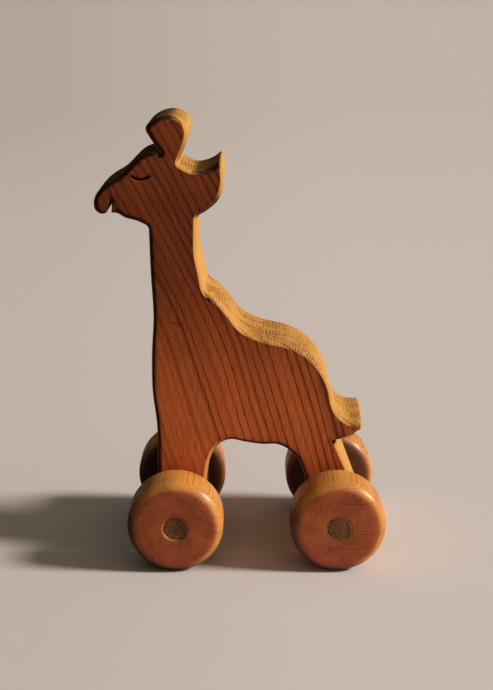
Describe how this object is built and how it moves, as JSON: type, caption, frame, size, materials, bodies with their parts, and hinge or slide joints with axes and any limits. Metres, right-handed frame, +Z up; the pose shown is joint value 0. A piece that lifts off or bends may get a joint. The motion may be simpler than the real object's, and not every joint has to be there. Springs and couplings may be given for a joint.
{
  "type": "wheeled wooden giraffe toy",
  "caption": "Giraffe push toy sawn from a thick wooden plank, rolling on round-shouldered wooden wheels glued to turning dowel axles.",
  "frame": {"origin": "on the floor, under the middle of the whole toy's box", "axes": "+Z up, the giraffe looks along -X, its left side is on the -Y side"},
  "size_m": [0.1255, 0.082, 0.1964],
  "materials": {
    "plank": "oiled open-grained hardwood with darker flat faces and golden sawn edges",
    "wheel": "turned hardwood with a satin varnish",
    "dowel": "raw end grain, darkened by oil"
  },
  "bodies": {
    "giraffe": {"giraffe_body": "plank"},
    "front_wheelset": {"front_axle": "dowel", "front_left_wheel": "wheel", "front_right_wheel": "wheel"},
    "rear_wheelset": {"rear_axle": "dowel", "rear_left_wheel": "wheel", "rear_right_wheel": "wheel"}
  },
  "joints": [
    {"name": "front_axle_spin", "type": "hinge", "parent": "giraffe", "child": "front_wheelset", "pos_m": [-0.0295, 0, 0.021], "axis": [0, 1, 0], "continuous": true},
    {"name": "rear_axle_spin", "type": "hinge", "parent": "giraffe", "child": "rear_wheelset", "pos_m": [0.0417, 0, 0.021], "axis": [0, 1, 0], "continuous": true}
  ]
}
